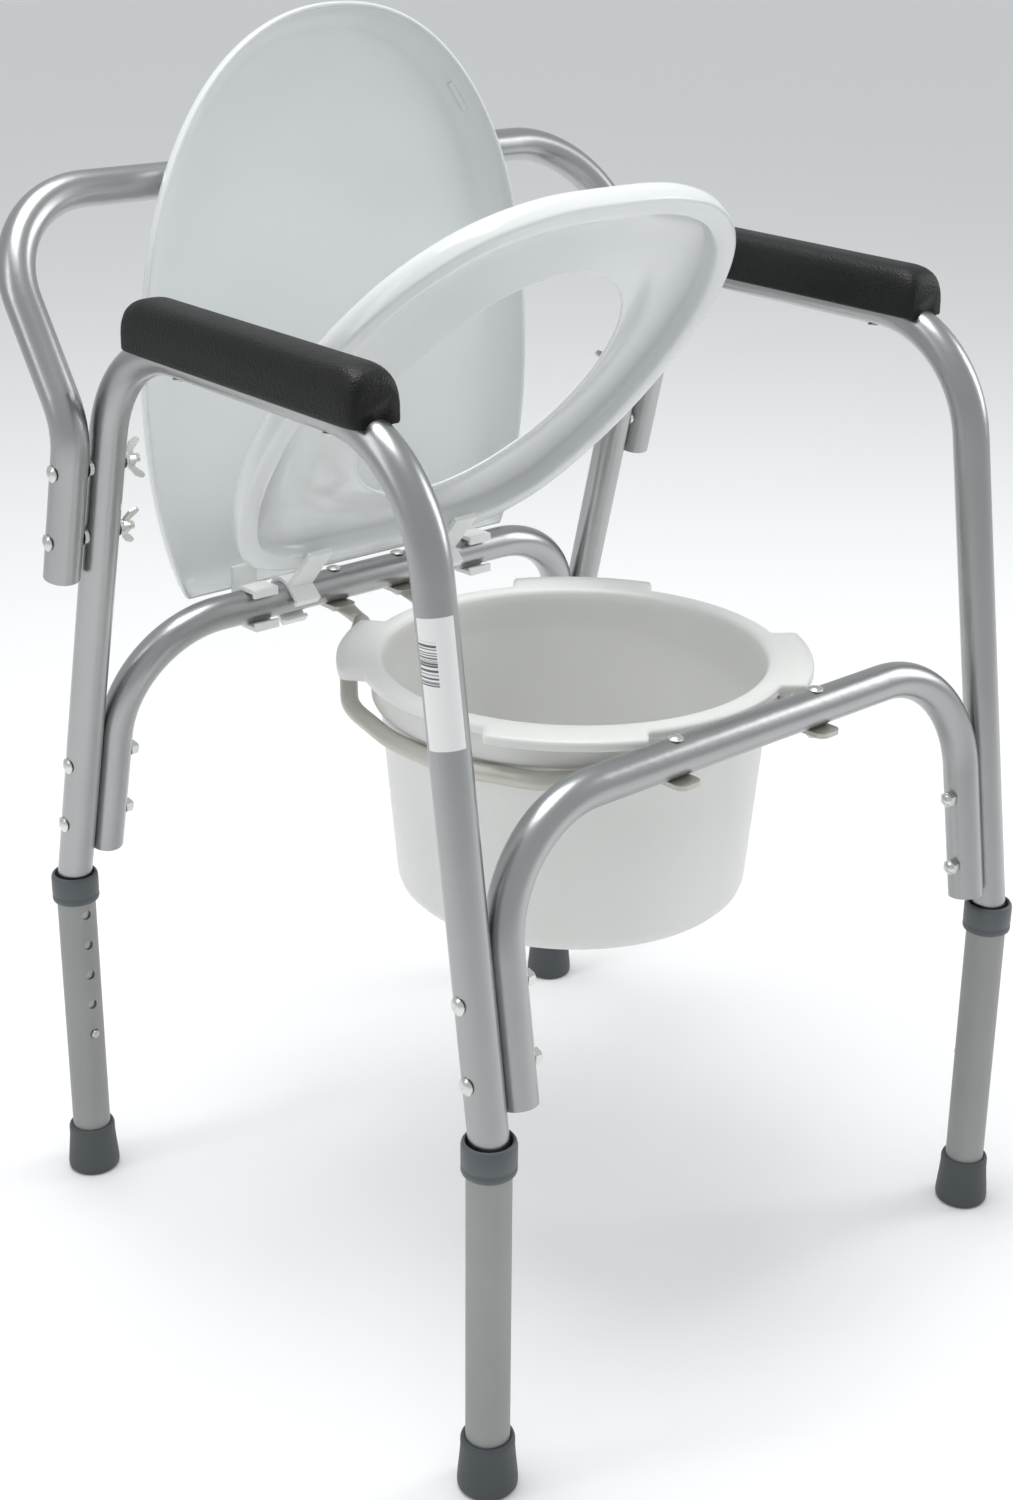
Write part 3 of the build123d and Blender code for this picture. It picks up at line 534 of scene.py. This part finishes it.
# --- armrest pads ------------------------------------------------------------------------------
ARM_SLOPE = math.atan2(680.0 - 674.0, 136.3 + 176.9)
ARM_AXIS_Z = 674.0 * MM
ARM_AXIS_Y = -176.9 * MM
PAD_FRONT = -141.0 * MM
PAD_REAR = 104.0 * MM
PAD_HALF_W = 19.0 * MM
PAD_TOP = 34.0 * MM
TUBE_R = 12.7 * MM
PAD_BORE = TUBE_R + 0.05 * MM
PAD_SKIRT = 4.0 * MM        # the upright foot of the pad's sides
PAD_SQUARENESS = 0.62       # 1 is a half ellipse, less is squarer
PAD_STATIONS = 48
CROWN_STEPS = 24
CHANNEL_STEPS = 16
# how the pad shrinks towards each end: distance from the end, share of its width, of its height
PAD_END = [
    (0.0, 0.80, 0.62), (0.6, 0.85, 0.70), (1.8, 0.90, 0.78), (4.0, 0.945, 0.865),
    (7.5, 0.975, 0.935), (12.0, 0.99, 0.975), (18.0, 1.0, 1.0),
]
# where the arm tube starts to bend down, and which way along Y
ARM_BENDS = [(-101.0 * MM, -1), (66.0 * MM, 1)]
ARM_BEND_R = 90.0 * MM


def pad_shrink(distance):
    """Width and height shares at a distance in millimetres from the nearer end."""
    for (start, w0, h0), (end, w1, h1) in zip(PAD_END, PAD_END[1:]):
        if distance <= end:
            share = (distance - start) / (end - start)
            return w0 + (w1 - w0) * share, h0 + (h1 - h0) * share
    return 1.0, 1.0


def pad_section(width, height, drop):
    """A loaf-shaped section over a tube that has fallen by drop: points of (across, up)."""
    points = []
    start = math.asin(drop / PAD_BORE)
    lip = PAD_BORE * math.cos(start) + 0.9 * MM
    for step in range(CROWN_STEPS + 1):
        angle = math.pi * step / CROWN_STEPS
        x = math.copysign(abs(math.cos(angle)) ** PAD_SQUARENESS, math.cos(angle)) * width
        z = math.sin(angle) ** PAD_SQUARENESS * (height - PAD_SKIRT) + PAD_SKIRT
        points.append((x, z))
    points += [(-width, 1.2 * MM), (-width + 0.8 * MM, 0.1 * MM), (-lip, 0.0)]
    for step in range(CHANNEL_STEPS + 1):
        angle = math.pi - start - (math.pi - 2 * start) * step / CHANNEL_STEPS
        points.append((PAD_BORE * math.cos(angle), PAD_BORE * math.sin(angle) - drop))
    points += [(lip, 0.0), (width - 0.8 * MM, 0.1 * MM), (width, 1.2 * MM)]
    return points


def arm_drop(y):
    """How far the arm tube falls below its straight line where it bends down at y."""
    into = max((y - start) * way for start, way in ARM_BENDS)
    return ARM_BEND_R - math.sqrt(ARM_BEND_R ** 2 - max(into, 0.0) ** 2)


def build_armrest(side):
    length = PAD_REAR - PAD_FRONT
    turns = [math.pi * step / PAD_STATIONS for step in range(PAD_STATIONS + 1)]
    cuts = [-0.5 * math.cos(turn) + 0.5 for turn in turns]
    centre_x = node_centre("armrest_" + side).x
    rings = []
    for cut in cuts:
        y = PAD_FRONT + length * cut
        nearest = min(cut, 1 - cut) * length / MM
        width_share, height_share = pad_shrink(nearest)
        base = ARM_AXIS_Z + (y - ARM_AXIS_Y) * math.tan(ARM_SLOPE)
        section = pad_section(PAD_HALF_W * width_share, PAD_TOP * height_share, arm_drop(y))
        rings.append([(centre_x + x, y, base + z) for x, z in section])
    points, faces = skin(rings)
    count = len(rings[0])
    faces.append(tuple(reversed(range(count))))
    faces.append(tuple(range((len(rings) - 1) * count, len(rings) * count)))
    piece = mesh_object("armrest_pad_" + side, points, faces)
    finish_piece(piece, "frame", "armrest_vinyl", "armrest_" + side)


for side in ("left", "right"):
    build_armrest(side)


# --- rubber tips and collars ---------------------------------------------------------------------
TIP_SECTION = [
    (0.01, 0.6), (8.0, 0.6), (8.6, 0.0), (17.2, 0.0), (18.7, 0.5), (19.4, 1.6), (19.6, 3.2),
    (19.6, 6.0), (19.1, 12.0), (18.3, 20.0), (17.7, 27.5), (17.5, 31.5), (17.6, 33.0),
    (17.5, 35.6), (17.0, 37.2), (16.0, 38.0), (14.9, 38.0), (14.3, 37.4), (14.3, 30.0),
]
COLLAR_SECTION = [
    (14.32, 240.0), (14.32, 234.6), (14.8, 234.0), (16.2, 234.0), (17.0, 234.4), (17.4, 235.6),
    (17.4, 238.0), (17.1, 238.6), (17.1, 240.2), (17.4, 240.8), (17.4, 252.6), (17.0, 254.4),
    (16.2, 255.6), (15.4, 256.0), (14.8, 255.8), (14.6, 255.0), (14.6, 246.1),
]
TURNED_BEARINGS = 72


def turned(name, section, centre):
    """A section of (radius, height) turned about an upright axis."""
    bearings = [math.tau * turn / TURNED_BEARINGS for turn in range(TURNED_BEARINGS)]
    rings = []
    for radius, height in section:
        rings.append([round_spot(centre, bearing, radius, height) for bearing in bearings])
    return mesh_object(name, *skin(rings))


for leg in LEGS:
    foot = node_centre("rubber_tip_" + leg)
    tip = turned("tip_" + leg, TIP_SECTION, foot)
    finish_piece(tip, "leg_" + leg, "tip_rubber", "rubber_tip_" + leg)
    collar = turned("collar_" + leg, COLLAR_SECTION, foot)
    finish_piece(collar, "leg_" + leg, "collar_plastic", "leg_collar_" + leg)


# --- floor, light and camera -----------------------------------------------------------------------
FLOOR_HALF = 12.0
FLOOR_GAP = 0.0005          # keeps the floor just under the tips
AIM = (0, 0, 0.5)
WORLD_COLOUR = (0.95, 0.98, 1, 1)
WORLD_STRENGTH = 0.62
CAMERA_PLACE = Vector((-0.97861, -1.08876, 0.98294))
CAMERA_TURN = (41.83, 20.87, 0.64)      # yaw from +Y, pitch down and roll, in degrees
CAMERA_LENS = 52.33
CAMERA_SHIFT = (-0.01267, -0.05057)


def build_stage():
    corners = [(x * FLOOR_HALF, y * FLOOR_HALF, 0) for x, y in ((-1, -1), (1, -1), (1, 1), (-1, 1))]
    floor = mesh_object("floor", corners, [(0, 1, 2, 3)])
    material = new_material("floor_white", Roughness=0.6)
    shader_of(material).inputs["Base Color"].default_value = (0.95, 0.95, 0.95, 1)
    floor.data.materials.append(material)
    floor.location.z = -FLOOR_GAP


def area_light(name, place, size, power):
    light = bpy.data.lights.new(name, "AREA")
    light.shape = "RECTANGLE"
    light.size, light.size_y = size
    light.energy = power
    lamp = bpy.data.objects.new(name, light)
    lamp.location = place
    lamp.rotation_euler = (Vector(AIM) - Vector(place)).to_track_quat("-Z", "Y").to_euler()
    bpy.context.scene.collection.objects.link(lamp)


def build_light():
    world = bpy.data.worlds.new("studio")
    world.use_nodes = True
    background = world.node_tree.nodes["Background"]
    background.inputs["Color"].default_value = WORLD_COLOUR
    background.inputs["Strength"].default_value = WORLD_STRENGTH
    bpy.context.scene.world = world
    bpy.context.scene.view_settings.view_transform = "Standard"
    area_light("top", (-0.2, 0.3, 2.9), (1.3, 1.3), 44)
    area_light("right", (2.2, -1.0, 1.5), (1.0, 1.6), 18)
    area_light("left", (-2.3, 0.7, 1.9), (0.5, 1.8), 8)


def build_camera():
    yaw, pitch, roll = (math.radians(angle) for angle in CAMERA_TURN)
    ahead = math.cos(pitch)
    forward = Vector((math.sin(yaw) * ahead, math.cos(yaw) * ahead, -math.sin(pitch)))
    level = Vector((math.cos(yaw), -math.sin(yaw), 0))
    upright = level.cross(forward)
    right = level * math.cos(roll) + upright * math.sin(roll)
    up = upright * math.cos(roll) - level * math.sin(roll)
    camera = bpy.data.cameras.new("camera")
    camera.sensor_fit = "AUTO"
    camera.sensor_width = 36.0
    camera.lens = CAMERA_LENS
    camera.shift_x, camera.shift_y = CAMERA_SHIFT
    holder = bpy.data.objects.new("camera", camera)
    turn = Matrix((right, up, -forward)).transposed().to_4x4()
    holder.matrix_world = Matrix.Translation(CAMERA_PLACE) @ turn
    bpy.context.scene.collection.objects.link(holder)
    bpy.context.scene.camera = holder


build_stage()
build_light()
build_camera()
